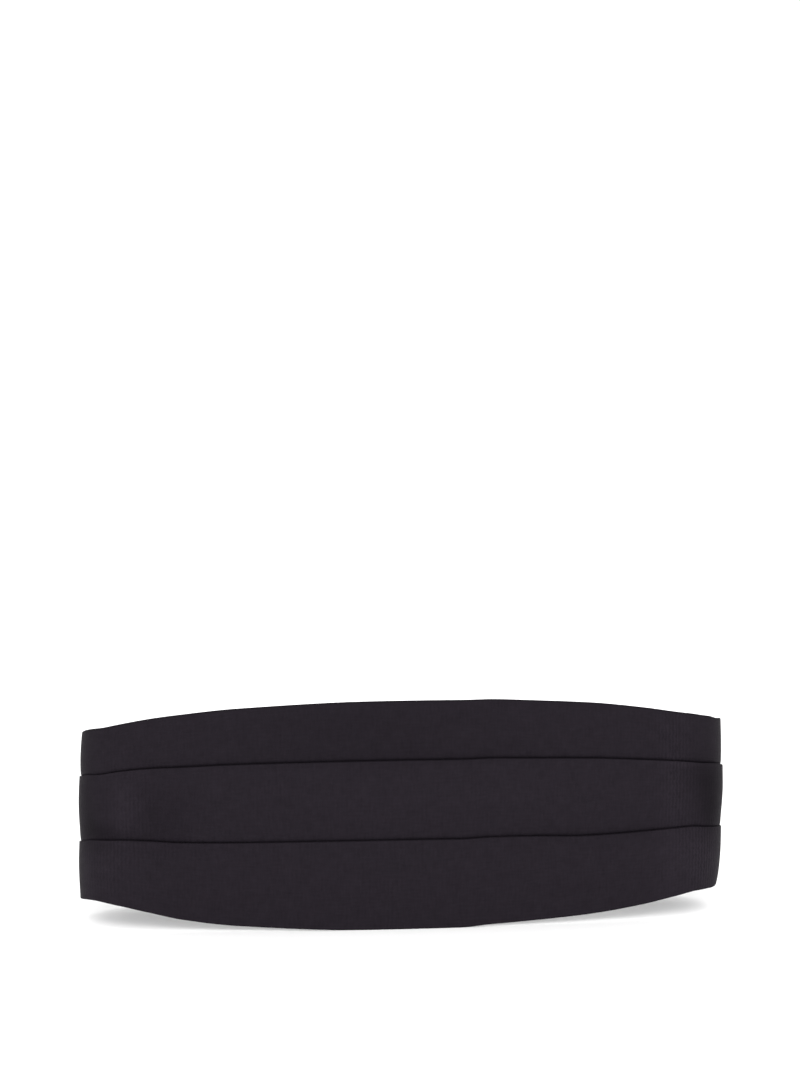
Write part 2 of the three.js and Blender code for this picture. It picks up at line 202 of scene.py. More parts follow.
# Painted shade and painted highlights: soft patches where the cloth's colour is made a little lighter or,
# below 0, darker, by a share of its colour, in place of the shading at its bends, folds and edges. The
# places are given as for the dents.
PAINTED_SHADE_AND_LIGHT = [
    dict(along=0.1, up=0.18, width=260, tall=28, lighter=0.07),
    dict(along=-0.56, up=0.18, width=24, tall=30, lighter=0.2),
    dict(along=-0.585, up=0.15, width=5, tall=30, lighter=0.2),
    dict(along=0.53, up=0.18, width=27, tall=26, lighter=0.26),
    dict(along=0.1, up=0.57, width=150, tall=15, lighter=0.08),
    dict(along=0, up=0.705, width=190, tall=4, lighter=0.05),
    dict(along=-0.508, up=0.55, width=8, tall=17, lighter=0.22),
    dict(along=-0.44, up=0.48, width=14, tall=18, lighter=-0.16),
    dict(along=-0.56, up=0.39, width=13, tall=8, lighter=-0.42),
    dict(along=-0.505, up=0.375, width=14, tall=4, lighter=-0.2),
    dict(along=-0.585, up=0.46, width=5, tall=18, lighter=-0.28),
    dict(along=-0.56, up=0.87, width=14, tall=16, lighter=0.08),
    dict(along=-0.1, up=0.88, width=75, tall=15, lighter=-0.12),
    dict(along=0.46, up=0.52, width=8, tall=70, lighter=0.1),
    dict(along=0.533, up=0.66, width=13, tall=12, lighter=-0.36),
    dict(along=0.36, up=0.385, width=50, tall=4, lighter=-0.12),
    dict(along=-0.05, up=0.755, width=110, tall=6, lighter=-0.1),
    dict(along=0.548, up=0.45, width=11, tall=15, lighter=-0.52),
    dict(along=-0.54, up=0.352, width=26, tall=1.6, lighter=0.22),
    dict(along=0.49, up=0.722, width=18, tall=1.6, lighter=0.18),
    dict(along=0, up=1.0, width=600, tall=0.8, lighter=-0.3),
]

# Where the cloth's moire shows more, as relief and as painted highlights along its bends, with places as
# for the dents.
RIBS = [
    dict(along=0.462, up=0.88, width=12, tall=30, strength=0.7),
    dict(along=0.475, up=0.55, width=11, tall=38, strength=0.85),
    dict(along=0.54, up=0.2, width=14, tall=26, strength=1.7),
    dict(along=-0.55, up=0.2, width=22, tall=22, strength=0.6),
    dict(along=-0.5, up=0.54, width=14, tall=24, strength=0.5),
]

# Stitches: rows in from each end of the panel and of a folded-back strap. Sink, bulge and tip are
# shares of the thread's radius: how deep a stitch's ends go into the cloth, how far its middle
# comes out from there, and how thick its ends are.
STITCH_LENGTH = 2.2 * MM
STITCH_GAP = 0.7 * MM
STITCH_SINK = 1.0
STITCH_BULGE = 1.5
STITCH_TIP = 0.55
THREAD_RADIUS = 0.17 * MM
END_SEAMS = [2.5 * MM, 15 * MM]
STRAP_SEAMS = [3 * MM, 13 * MM]
SEAM_MARGIN = 3 * MM

# How finely the pieces are cut up.
STATION_STEP = 2.2 * MM
BAND_POINTS = 34
BAND_CLUSTER = 1.2
HEM_POINTS = 5
FOLD_POINTS = 8
POCKET_POINTS = 6
TOP_EDGE_POINTS = 11
INNER_POINTS = 30
MOUTH_RINGS = 5
STRAP_STEP = 1.5 * MM
STRAP_TURN_POINTS = 19
STRAP_RAMP_POINTS = 12
STRAP_FACE_POINTS = 16
SELVAGE_POINTS = 7
CORNER_POINTS = 6
BEVEL_POINTS = 4
STITCH_RINGS = 7
STITCH_SIDES = 6
STITCH_PROBE = 0.1 * MM
END_SEAM_POINTS = 60
STRAP_SEAM_POINTS = 12

# Colours, as linear red, green and blue.
SATIN_COLOUR = (0.0093, 0.0076, 0.0100)
SATIN_SHINE = (1.0, 0.85, 1.0)
WEBBING_COLOUR = (0.0105, 0.0092, 0.0112)
LACQUER_COLOUR = (0.016, 0.016, 0.017)
THREAD_COLOUR = (0.014, 0.012, 0.015)
WHITE = (1, 1, 1)

# Satin: how far apart its ribs, its floats and the bands of its moire are, how much moire shows
# here and there besides RIBS, and how rough the cloth is and by how much that varies.
RIB_PITCH_MM = 0.62
FLOAT_PITCH_MM = 0.45
MOIRE_PITCH_MM = 2.1
STRAY_MOIRE = 0.25
SATIN_ROUGHNESS = 0.58
SATIN_UNEVENNESS = 0.05

# Between what values nearly all of a noise node's output lies.
NOISE_LOW = 0.3
NOISE_HIGH = 0.7

# Camera, placed on the photograph's frame, which is 1067 pixels tall.
PHOTO_HEIGHT_PX = 1067
MM_PER_PX = 0.575
CAMERA_DISTANCE = 1500 * MM
CAMERA_AZIMUTH = math.radians(7.9)
CAMERA_ELEVATION = math.radians(8)
CAMERA_PITCH = math.radians(2.233)
AIM_HEIGHT = 65 * MM
OBJECT_RIGHT_OF_MIDDLE_PX = 3.9
SENSOR = 36
CLIP_NEAR = 0.05
CLIP_FAR = 50

# Studio, in metres and watts.
ROOM_BRIGHTNESS = 1.1
FLOOR_REACH = 6.0
LIGHTS = [
    dict(name="key_softbox", at=(-0.3, -2.1, 0.95), toward=(0, 0, 0.05), size=(2.0, 1.3), watts=43),
    dict(name="left_softbox", at=(-1.5, -0.9, 0.25), toward=(0, 0, 0.06), size=(0.6, 0.45), watts=9),
    dict(name="right_softbox", at=(1.5, -0.9, 0.25), toward=(0, 0, 0.06), size=(0.6, 0.45), watts=12),
    dict(name="back_softbox", at=(0.2, 2.1, 0.6), toward=(0, 0, 0.06), size=(1.4, 0.8), watts=20),
]

panel_low, panel_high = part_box("pleated_front")
panel_height = panel_high.z - panel_low.z


def waist_side_y():
    """Where the waist side of the front is, in the middle, on the CAD model."""
    corners = [v.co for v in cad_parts["pleated_front"].data.vertices]
    return max(p.y for p in corners if abs(p.x) < NEAR_MIDDLE and p.y < 0)


def smooth(x):
    """A step from 0 to 1 with soft ends."""
    x = np.clip(x, 0, 1)
    return x * x * (3 - 2 * x)


def mix(a, b, share):
    """The value at a share of the way from a to b."""
    return a + (b - a) * share


def column(rows, name, share):
    """A column of a table at shares of the panel's half length, by a curve that stays within its rows."""
    along = np.array([row["along"] for row in rows])
    values = np.array([row[name] for row in rows])
    slopes = np.diff(values) / np.diff(along)
    product = slopes[:-1] * slopes[1:]
    total = slopes[:-1] + slopes[1:]
    inner = np.where(product > 0, 2 * product / np.where(total == 0, 1, total), 0)
    tangents = np.concatenate([slopes[:1], inner, slopes[-1:]])
    k = np.clip(np.searchsorted(along, share, side="left") - 1, 0, len(rows) - 2)
    span = along[k + 1] - along[k]
    u = (share - along[k]) / span
    return (
        values[k] * (1 + 2 * u) * (1 - u) ** 2
        + tangents[k] * span * u * (1 - u) ** 2
        + values[k + 1] * u * u * (3 - 2 * u)
        + tangents[k + 1] * span * u * u * (u - 1)
    )


def path_lengths(path, closed=False):
    """The length of a path up to each of its points, and if it is closed, all the way round too."""
    path = np.asarray(path)
    if closed:
        path = np.concatenate([path, path[:1]])
    return np.concatenate([[0], np.cumsum(np.linalg.norm(np.diff(path, axis=0), axis=1))])


class Ring:
    """The plan of the ring: arcs as in the CAD model, with the joints between them softened."""

    def __init__(self):
        centre_x = RING_HALF_WIDTH - SIDE_RADIUS
        front_angle = math.asin(centre_x / (FRONT_RADIUS - SIDE_RADIUS))
        back_angle = math.asin(centre_x / (BACK_RADIUS - SIDE_RADIUS))
        front = FRONT_RADIUS * front_angle
        side = SIDE_RADIUS * (math.pi - front_angle - back_angle)
        back = BACK_RADIUS * back_angle
        centre_y = FRONT_RADIUS - (FRONT_RADIUS - SIDE_RADIUS) * math.cos(front_angle)
        depth = centre_y + BACK_RADIUS - (BACK_RADIUS - SIDE_RADIUS) * math.cos(back_angle)
        self.half = front + side + back
        self.front_y = waist_side_y()

        count = int(round(self.half / PLAN_STEP))
        self.runs = np.linspace(0, self.half, count + 1)
        bends = [0, front, front + side, self.half]
        angles = [0, front_angle, math.pi - back_angle, math.pi]
        turned = np.interp(self.runs, bends, angles)
        pad = int(round(PLAN_SOFTENING / PLAN_STEP))
        before = -turned[pad:0:-1]
        after = 2 * math.pi - turned[-2 : -pad - 2 : -1]
        kernel = np.hanning(2 * pad + 1)
        padded = np.concatenate([before, turned, after])
        self.turned = np.convolve(padded, kernel / kernel.sum(), "valid")
        step = self.half / count
        middle = (self.turned[1:] + self.turned[:-1]) / 2
        x = np.concatenate([[0], np.cumsum(np.cos(middle)) * step])
        y = np.concatenate([[0], np.cumsum(np.sin(middle)) * step])
        self.x = x - x[-1] * self.runs / self.half
        self.y = y * depth / y[-1]

    def point(self, along, offset):
        """Points at distances along the ring and offsets outwards from its waist side."""
        run = np.abs(along)
        side = np.where(np.asarray(along) < 0, -1.0, 1.0)
        turned = np.interp(run, self.runs, self.turned)
        x = side * (np.interp(run, self.runs, self.x) + offset * np.sin(turned))
        y = self.front_y + np.interp(run, self.runs, self.y) - offset * np.cos(turned)
        return x, y

    def place(self, along, offset, z):
        """The same points with their heights, as an array of [x, y, z]."""
        along, offset, z = np.broadcast_arrays(along, offset, z)
        x, y = self.point(along, offset)
        return np.stack([x, y, z], axis=-1)


ring = Ring()
panel_half = ring.half - STRAP_SPAN
bar_inner = CLASP_WEB / 2 + SLOT_WIDTH
bar_outer = bar_inner + CLASP_BAR
clasp_height = SLOT_HEIGHT + 2 * CLASP_RIM
turn_radius = CLASP_WALL / 2 + CLEARANCE + STRAP_WALL / 2
clasp_offset = STRAP_OFFSET - turn_radius
return_offset = STRAP_OFFSET - STRAP_WALL - CLEARANCE


def mesh_object(name, points, faces, uvs=None, smooth_angle=40):
    """A mesh piece, shaded smooth but for sharp edges. uvs holds one (u, v) for each face corner."""
    mesh = bpy.data.meshes.new(name)
    mesh.from_pydata([tuple(p) for p in points], [], [tuple(int(i) for i in f) for f in faces])
    if uvs is not None:
        layer = mesh.uv_layers.new(name="cloth")
        layer.data.foreach_set("uv", np.asarray(uvs, np.float32).ravel())
    mesh.validate()
    mesh.shade_smooth()
    mesh.set_sharp_from_angle(angle=math.radians(smooth_angle))
    piece = bpy.data.objects.new(name, mesh)
    bpy.context.scene.collection.objects.link(piece)
    return piece


def grid_faces(rows, columns, wrap=False, first=0):
    """Quads between rows of points that are numbered row by row."""
    last = columns if wrap else columns - 1
    return [
        (
            first + i * columns + j,
            first + i * columns + (j + 1) % columns,
            first + (i + 1) * columns + (j + 1) % columns,
            first + (i + 1) * columns + j,
        )
        for i in range(rows - 1)
        for j in range(last)
    ]


def flipped(faces, flip):
    """The same faces, turned over if asked."""
    return [face[::-1] for face in faces] if flip else faces


def flat_faces(loops, numbers):
    """Counterclockwise triangles between flat outlines; numbers are those of the outlines' points."""
    loops = [[Vector((x, y, 0)) for x, y in loop] for loop in loops]
    flat = [p for loop in loops for p in loop]
    faces = []
    for triangle in tessellate_polygon(loops):
        a, b, c = (flat[k] for k in triangle)
        clockwise = (b - a).cross(c - a).z < 0
        face = tuple(numbers[k] for k in triangle)
        faces.append(face[::-1] if clockwise else face)
    return faces


def arc(centre_offset, centre_z, radius, start, end, count):
    """Points of an arc in the plane of a section, as offsets and heights, one column for each point."""
    angles = np.linspace(start, end, count)
    return (
        centre_offset[:, None] + radius * np.cos(angles),
        centre_z[:, None] + radius * np.sin(angles),
    )


def panel_levels(along):
    """Heights of the panel's edges and folds, its walls and leans, at places along the ring.

    Towards the ends, extra is how much thicker the wall gets, and loose how much of the drape
    is left: 0 where the straps are held.
    """
    share = along / panel_half
    from_end = panel_half - np.abs(along)
    settling = smooth(1 - from_end / END_LENGTH)
    thickening = smooth(1 - (from_end - STRAP_INSERT) / END_LENGTH)
    creased = 1 - smooth((np.abs(share) - DEEP_CREASES) / CREASE_FADE)
    height = END_HEIGHT + (panel_height - END_HEIGHT) * column(SECTIONS, "fullness", share)
    bottom = mix(SIDE_RISE * column(SECTIONS, "lift", share), END_BOTTOM, settling)
    loose = 1 - thickening
    return dict(
        bottom=bottom,
        top=bottom + height,
        upper=bottom + height * column(SECTIONS, "upper", share) - UPPER_FOLD_DROP * loose,
        lower=bottom + height * column(SECTIONS, "lower", share) - LOWER_FOLD_DROP * loose,
        depth=PLEAT_DEPTH * height / panel_height,
        extra=(END_WALL - BODY_WALL) * thickening,
        loose=loose,
        crease=CREASE_DEPTH * mix(CREASE_LEFT, 1, creased),
        groove=MM * column(RELIEF, "groove", share),
        puff=MM * column(RELIEF, "puff", share) * loose,
        curl=MM * column(RELIEF, "curl", share) * loose,
        steps=[MM * column(RELIEF, k, share) for k in ("lower_step", "upper_step")],
        leans=[MM * column(LEANS, k, share) * loose for k in ("bottom", "lower", "upper", "top")],
    )


def patches(rows, name, along, z, levels):
    """The sum of a table's patches at points of the panel, each the shape of a bell."""
    low = levels["bottom"][:, None]
    high = levels["top"][:, None]
    total = np.zeros_like(z)
    for row in rows:
        across = (along[:, None] - row["along"] * panel_half) / (row["width"] * MM)
        up = (z - mix(low, high, row["up"])) / (row["tall"] * MM)
        total = total + row[name] * np.exp(-across * across - up * up)
    return total


def leaning(up, levels):
    """How far the wall leans outwards at shares of its height: a curve through its edges and folds."""
    height = levels["top"] - levels["bottom"]
    knots = [
        np.zeros_like(height),
        (levels["lower"] - levels["bottom"]) / height,
        (levels["upper"] - levels["bottom"]) / height,
        np.ones_like(height),
    ]
    total = np.zeros_like(up)
    for i, lean in enumerate(levels["leans"]):
        weight = np.ones_like(up)
        for j, knot in enumerate(knots):
            if j != i:
                weight = weight * (up - knot[:, None]) / (knots[i] - knot)[:, None]
        total = total + lean[:, None] * weight
    return total


def waving(along, up):
    """How far the waves of the cloth stand out, in mm."""
    total = np.zeros_like(up)
    for wave in WAVES:
        phase = along[:, None] / (wave["reach"] * MM) + wave["turn"] * up + wave["start"]
        total = total + wave["out"] * np.sin(phase)
    return total


def drape(along, z, levels):
    """How far the whole wall stands outwards: its lean, the hem's curl, dents and soft waves."""
    low = levels["bottom"][:, None]
    high = levels["top"][:, None]
    up = np.clip((z - low) / (high - low), 0, 1)
    curled = levels["curl"][:, None] * np.exp(-np.maximum(z - low, 0) / CURL_REACH)
    body = np.sin(np.pi * up) * levels["loose"][:, None]
    dents = MM * patches(DENTS, "out", along, z, levels)
    return leaning(up, levels) - curled + dents + MM * waving(along, up) * body


def band(start, end, up, rise, sink, cut, puff):
    """A band's outer face between two places, each an offset and a height.

    up is the share of the height at each point, and rise the share of the offset. The cloth sinks
    into the groove and the crease above the fold below, by sink and cut, and its middle puffs out.
    """
    start_offset, start_z = start
    end_offset, end_z = end
    z = mix(start_z[:, None], end_z[:, None], up)
    above = z - start_z[:, None]
    sunk = sink[:, None] * np.exp(-above / GROOVE_REACH) + cut[:, None] * np.exp(-above / CREASE_REACH)
    puffed = puff[:, None] * np.sin(np.pi * up)
    return mix(start_offset[:, None], end_offset[:, None], rise) + puffed - sunk, z


def fold_and_pocket(fold, shoulder, bottom, behind):
    """The round top of a fold, the way down inside its flap, and up again on the cloth behind it."""
    down = np.linspace(0, 1, POCKET_POINTS + 1)[1:]
    z = mix(shoulder[:, None], bottom[:, None], down)
    behind = behind[:, None] + 0 * down
    flap = mix((fold - FLAP_WALL)[:, None], behind + POCKET_GAP, smooth(FLAP_CLOSING * down))
    return [
        arc(fold - FLAP_WALL / 2, shoulder, FLAP_WALL / 2, 0, math.pi, FOLD_POINTS),
        (flap, z),
        (behind[:, ::-1], z[:, ::-1]),
    ]


def waist_side(levels, start_z, end_z):
    """The panel's waist side, from the top down, with a turned hem along the top and the bottom."""
    z = mix(start_z[:, None], end_z[:, None], np.linspace(0, 1, INNER_POINTS + 2)[1:-1])
    from_edge = np.minimum(levels["top"][:, None] - z, z - levels["bottom"][:, None])
    turned = TURNED_HEM_WALL * smooth((from_edge - TURNED_HEM) / TURNED_HEM_STEP)
    return turned * levels["loose"][:, None], z


def panel_sections(along):
    """Offsets and heights of the panel's outline at each place along the ring, one row for each place.

    The outline runs from the hem up the outside, over each fold and down into the pocket behind
    it, over the top edge, and down the waist side.
    """
    levels = panel_levels(along)
    hem = HEM_OFFSET + levels["extra"]
    hem_z = levels["bottom"] + HEM_ROUND
    edge = BODY_WALL + levels["extra"]
    above_fold = edge + CREASE_RISE
    behind = above_fold - levels["groove"] - levels["crease"]
    zero = np.zeros_like(along)
    parts = [
        arc(zero + HEM_ROUND, hem_z, HEM_ROUND, math.pi, 1.5 * math.pi, HEM_POINTS),
        arc(hem - HEM_ROUND, hem_z, HEM_ROUND, 1.5 * math.pi, 2 * math.pi, HEM_POINTS),
    ]

    # The lower two bands, each with its fold and the pocket behind it.
    start, sink, cut = (hem, hem_z), zero, zero
    for fold_z, step in zip((levels["lower"], levels["upper"]), levels["steps"]):
        fold = edge + step
        shoulder = fold_z - FLAP_WALL / 2
        up = np.linspace(0, 1, BAND_POINTS + 2)[1:-1] ** BAND_CLUSTER
        up = 0.5 - 0.5 * np.cos(np.pi * up)
        rise = smooth(BAND_RISE * up)
        parts.append(band(start, (fold, shoulder), up, rise, sink, cut, levels["puff"]))
        parts.extend(fold_and_pocket(fold, shoulder, fold_z - levels["depth"], behind))
        start, sink, cut = (above_fold, fold_z), levels["groove"], levels["crease"]

    # Top band, top edge and waist side.
    edge_round = edge / 2
    shoulder = levels["top"] - edge_round
    up = np.linspace(0, 1, BAND_POINTS + 1)[:-1] ** BAND_CLUSTER
    parts.append(band(start, (edge, shoulder), up, smooth(up), sink, cut, levels["puff"]))
    parts.append(arc(edge_round, shoulder, edge_round[:, None], 0, math.pi, TOP_EDGE_POINTS))
    parts.append(waist_side(levels, shoulder, hem_z))

    offset, z = (np.concatenate(grids, axis=1) for grids in zip(*parts))
    return offset + drape(along, z, levels), z, levels


def strap_bottom(from_clasp):
    """The height of a strap's lower edge at distances from the middle of the clasp."""
    climbed = (from_clasp - bar_outer) / (STRAP_SPAN - bar_outer)
    return (clasp_height - STRAP_WIDTH) / 2 + STRAP_RISE * np.maximum(climbed, 0) ** 2


def mouth_outline(from_clasp):
    """Corners, as offset and height, of the space that a strap takes up inside the panel's end."""
    half_wall = STRAP_WALL / 2 + CLEARANCE
    low = strap_bottom(from_clasp) - CLEARANCE
    high = low + STRAP_WIDTH + 2 * CLEARANCE
    return [
        (STRAP_OFFSET - half_wall, low),
        (STRAP_OFFSET + half_wall, low),
        (STRAP_OFFSET + half_wall, high),
        (STRAP_OFFSET - half_wall, high),
    ]


def mouth_points(side):
    """Rings of points round the mouth in one end of the panel, from its rim inwards."""
    distances = np.linspace(STRAP_SPAN, STRAP_SPAN + STRAP_INSERT, MOUTH_RINGS)
    outlines = [(distance, np.array(mouth_outline(distance)).T) for distance in distances]
    return np.concatenate([ring.place(side * (ring.half - d), *outline) for d, outline in outlines])


def panel_end(side, section, first_outer, first_mouth):
    """Faces that close one end of the panel: its rim round the mouth, and the mouth's inside."""
    hole = mouth_outline(STRAP_SPAN)
    corners = len(hole)
    numbers = [first_outer + j for j in range(len(section))] + [first_mouth + k for k in range(corners)]
    rim = flat_faces([section, hole], numbers)
    inside = grid_faces(MOUTH_RINGS, corners, wrap=True, first=first_mouth)
    deepest = first_mouth + corners * (MOUTH_RINGS - 1)
    inside.append(tuple(deepest + k for k in range(corners)))
    return flipped(rim, side > 0) + flipped(inside, side < 0)


def make_panel():
    """The pleated cloth, one closed mesh, with a mouth in each end for a strap."""
    count = int(round(2 * panel_half / STATION_STEP))
    along = np.linspace(-panel_half, panel_half, count + 1)
    offset, z, levels = panel_sections(along)
    sections = np.stack([offset, z], axis=-1)
    rows, columns = offset.shape
    points = ring.place(along[:, None], offset, z).reshape(-1, 3)
    faces = flipped(grid_faces(rows, columns, wrap=True), True)

    # The cloth's map: lengths along the ring, and round the section in the middle.
    across = path_lengths(sections[rows // 2], closed=True)
    uvs = []
    for here, there in zip(along[:-1], along[1:]):
        for low, high in zip(across[:-1], across[1:]):
            uvs.extend([(there, low), (there, high), (here, high), (here, low)])
    for side, row in ((-1, 0), (1, rows - 1)):
        for face in panel_end(side, sections[row], row * columns, len(points)):
            faces.append(face)
            uvs.extend([(side * panel_half, 0)] * len(face))
        points = np.concatenate([points, mouth_points(side)])
    piece = mesh_object("pleated_cloth", points, faces, uvs)

    # Patches of painted shade and painted highlights go on the panel's points, with those of where the
    # moire shows more.
    # The waist side is plain, so its points keep 0.
    looks = {"painted_shade_and_light": (PAINTED_SHADE_AND_LIGHT, "lighter"), "ribs": (RIBS, "strength")}
    for look, (table, name) in looks.items():
        grid = patches(table, name, along, z, levels)
        grid[:, -INNER_POINTS:] = 0
        values = np.zeros(len(points), np.float32)
        values[: grid.size] = grid.ravel()
        piece.data.attributes.new(look, "FLOAT", "POINT").data.foreach_set("value", values)
    return piece


def panel_surface(along, z, side):
    """The offset of the panel's outer face, or with side -1 its waist side, at one place."""
    offset, heights, _ = panel_sections(np.array([along]))
    here, there = offset[0], np.roll(offset[0], -1)
    here_z, there_z = heights[0], np.roll(heights[0], -1)
    crossing = ((here_z - z) * (there_z - z) <= 0) & (here_z != there_z)
    share = (z - here_z[crossing]) / (there_z - here_z)[crossing]
    found = mix(here[crossing], there[crossing], share)
    return found.max() if side > 0 else found.min()


def stitch_points(run, lengths, start, out):
    """Rings of points round one stitch that starts at a length along its run."""
    points = []
    for share in np.linspace(0, 1, STITCH_RINGS):
        at = start + share * STITCH_LENGTH
        centre, ahead, behind = (
            np.array([np.interp(place, lengths, axis) for axis in run.T])
            for place in (at, at + STITCH_PROBE, at - STITCH_PROBE)
        )
        forward = (ahead - behind) / np.linalg.norm(ahead - behind)
        normal = np.array([0.0, out, 0.0])
        normal -= forward * normal.dot(forward)
        normal /= np.linalg.norm(normal)
        beside = np.cross(forward, normal)
        bulge = math.sin(math.pi * share)
        centre = centre + normal * THREAD_RADIUS * (STITCH_BULGE * bulge - STITCH_SINK)
        radius = THREAD_RADIUS * mix(STITCH_TIP, 1, bulge)
        for angle in np.linspace(0, 2 * math.pi, STITCH_SIDES, endpoint=False):
            place = centre + radius * (math.cos(angle) * normal + math.sin(angle) * beside)
            points.append(ring.place(*place))
    return points


def stitch_faces(first):
    """Faces of one closed stitch, whose points are numbered from first."""
    last = first + (STITCH_RINGS - 1) * STITCH_SIDES
    faces = grid_faces(STITCH_RINGS, STITCH_SIDES, wrap=True, first=first)
    faces.append(tuple(first + j for j in range(STITCH_SIDES))[::-1])
    faces.append(tuple(last + j for j in range(STITCH_SIDES)))
    return faces


def make_stitches(name, runs):
    """Rows of stitches in one mesh.

    A run is a list of points [along, offset, z], with 1 where the way out of the cloth is outwards
    and -1 where it is to the waist.
    """
    points, faces = [], []
    for run, out in runs:
        run = np.array(run)
        lengths = path_lengths(run)
        pitch = STITCH_LENGTH + STITCH_GAP
        for k in range(int(lengths[-1] // pitch)):
            faces.extend(stitch_faces(len(points)))
            points.extend(stitch_points(run, lengths, k * pitch + STITCH_GAP / 2, out))
    piece = mesh_object(name, points, faces, smooth_angle=60)
    mesh_edit = bmesh.new()
    mesh_edit.from_mesh(piece.data)
    bmesh.ops.recalc_face_normals(mesh_edit, faces=mesh_edit.faces)
    mesh_edit.to_mesh(piece.data)
    mesh_edit.free()
    return piece


def end_seams():
    """Rows of stitches across both ends of the panel, inside and out, that hold the straps in."""
    runs = []
    for end in (-1, 1):
        for inset in END_SEAMS:
            along = end * (panel_half - inset)
            levels = panel_levels(np.array([along]))
            low = levels["bottom"][0] + SEAM_MARGIN
            high = levels["top"][0] - SEAM_MARGIN
            heights = np.linspace(low, high, END_SEAM_POINTS)
            for out in (-1, 1):
                runs.append(([(along, panel_surface(along, z, out), z) for z in heights], out))
    return make_stitches("end_stitches", runs)


def strap_seams():
    """Stitches through each strap where it is folded back, in a box."""
    runs = []
    inner = return_offset - STRAP_WALL / 2
    outer = STRAP_OFFSET + STRAP_WALL / 2
    near, far = (bar_outer + FOLD_BACK - inset for inset in STRAP_SEAMS)
    for end in (-1, 1):
        for offset, out in ((inner, -1), (outer, 1)):
            for distance in (near, far):
                low = strap_bottom(distance) + SEAM_MARGIN
                high = strap_bottom(distance) + STRAP_WIDTH - SEAM_MARGIN
                heights = np.linspace(low, high, STRAP_SEAM_POINTS)
                runs.append(([(end * (ring.half - distance), offset, z) for z in heights], out))
            for up in (SEAM_MARGIN, STRAP_WIDTH - SEAM_MARGIN):
                distances = np.linspace(near, far, STRAP_SEAM_POINTS)
                row = [(end * (ring.half - d), offset, strap_bottom(d) + up) for d in distances]
                runs.append((row, out))
    return make_stitches("strap_stitches", runs)


def strap_path():
    """The strap's middle line: distances from the middle of the clasp, and offsets."""
    ramp_start = bar_outer + STRAP_WALL
    ramp_end = ramp_start + FOLD_RAMP
    straight = np.arange(STRAP_SPAN + STRAP_INSERT - CLEARANCE, bar_inner, -STRAP_STEP)
    path = [(distance, STRAP_OFFSET) for distance in straight]
    for angle in np.linspace(math.pi / 2, 1.5 * math.pi, STRAP_TURN_POINTS):
        distance = bar_inner + turn_radius * math.cos(angle)
        path.append((distance, clasp_offset + turn_radius * math.sin(angle)))
    for distance in np.linspace(ramp_start, ramp_end, STRAP_RAMP_POINTS):
        eased = smooth((distance - ramp_start) / FOLD_RAMP)
        path.append((distance, mix(clasp_offset - turn_radius, return_offset, eased)))
    for distance in np.linspace(ramp_end, bar_outer + FOLD_BACK, STRAP_RAMP_POINTS)[1:]:
        path.append((distance, return_offset))
    return np.array(path)


def strap_outline():
    """A strap's cross-section: across its thickness and up its width, with soft selvages."""
    half = STRAP_WALL / 2
    sides = np.linspace(0, 1, STRAP_FACE_POINTS + 2)[1:-1]
    bottom = (1.5 * math.pi, half, 1, sides)
    top = (0.5 * math.pi, STRAP_WIDTH - half, -1, 1 - sides)
    points = []
    for turn, centre, toward, ups in (bottom, top):
        for angle in np.linspace(turn - math.pi / 2, turn + math.pi / 2, SELVAGE_POINTS):
            points.append((half * math.cos(angle), centre + half * math.sin(angle)))
        for up in ups:
            points.append((toward * half, half + (STRAP_WIDTH - 2 * half) * up))
    return np.array(points)


def make_strap(name, side):
    """A webbing strap, out of the panel's end, round the clasp's bar and back along itself."""
    path = strap_path()
    outline = strap_outline()
    direction = np.gradient(path, axis=0)
    direction /= np.linalg.norm(direction, axis=1)[:, None]
    across, up = outline.T
    grid = []
    for (distance, offset), (ahead, outwards) in zip(path, direction):
        along = side * (ring.half - (distance - outwards * across))
        grid.append(ring.place(along, offset + ahead * across, strap_bottom(distance) + up))
    rows, columns = len(grid), len(outline)
    lengths = path_lengths(path)
    around = path_lengths(outline, closed=True)

    faces = flipped(grid_faces(rows, columns, wrap=True), side < 0)
    uvs = []
    for here, there in zip(lengths[:-1], lengths[1:]):
        for low, high in zip(around[:-1], around[1:]):
            corners = [(here, low), (here, high), (there, high), (there, low)]
            uvs.extend(corners if side > 0 else corners[::-1])
    for i, flip in ((0, side > 0), (rows - 1, side < 0)):
        end = tuple(range(i * columns, (i + 1) * columns))
        faces.extend(flipped([end], flip))
        uvs.extend([(lengths[i], 0)] * columns)
    return mesh_object(name, np.concatenate(grid), faces, uvs)


def rounded_loop(centre, size, radius, inset):
    """A rectangle with round corners, as [across, up] points. inset moves it in, or out below 0."""
    half = np.array(size) / 2 - inset
    corner = max(radius - inset, LEAST_CORNER)
    points = []
    for x, y, turn in ((1, -1, -0.5), (1, 1, 0), (-1, 1, 0.5), (-1, -1, 1)):
        for angle in np.linspace(turn * math.pi, (turn + 0.5) * math.pi, CORNER_POINTS):
            points.append(
                (
                    centre[0] + x * (half[0] - corner) + corner * math.cos(angle),
                    centre[1] + y * (half[1] - corner) + corner * math.sin(angle),
                )
            )
    return np.array(points)


def clasp_edge():
    """The plate's edge from its outer to its inner face, as insets and depths, with both rims eased."""
    levels = []
    for angle in np.linspace(0, math.pi / 2, BEVEL_POINTS):
        depth = CLASP_WALL / 2 - CLASP_BEVEL * (1 - math.cos(angle))
        levels.append((CLASP_BEVEL * (1 - math.sin(angle)), depth))
    return levels + [(inset, -depth) for inset, depth in levels[::-1]]


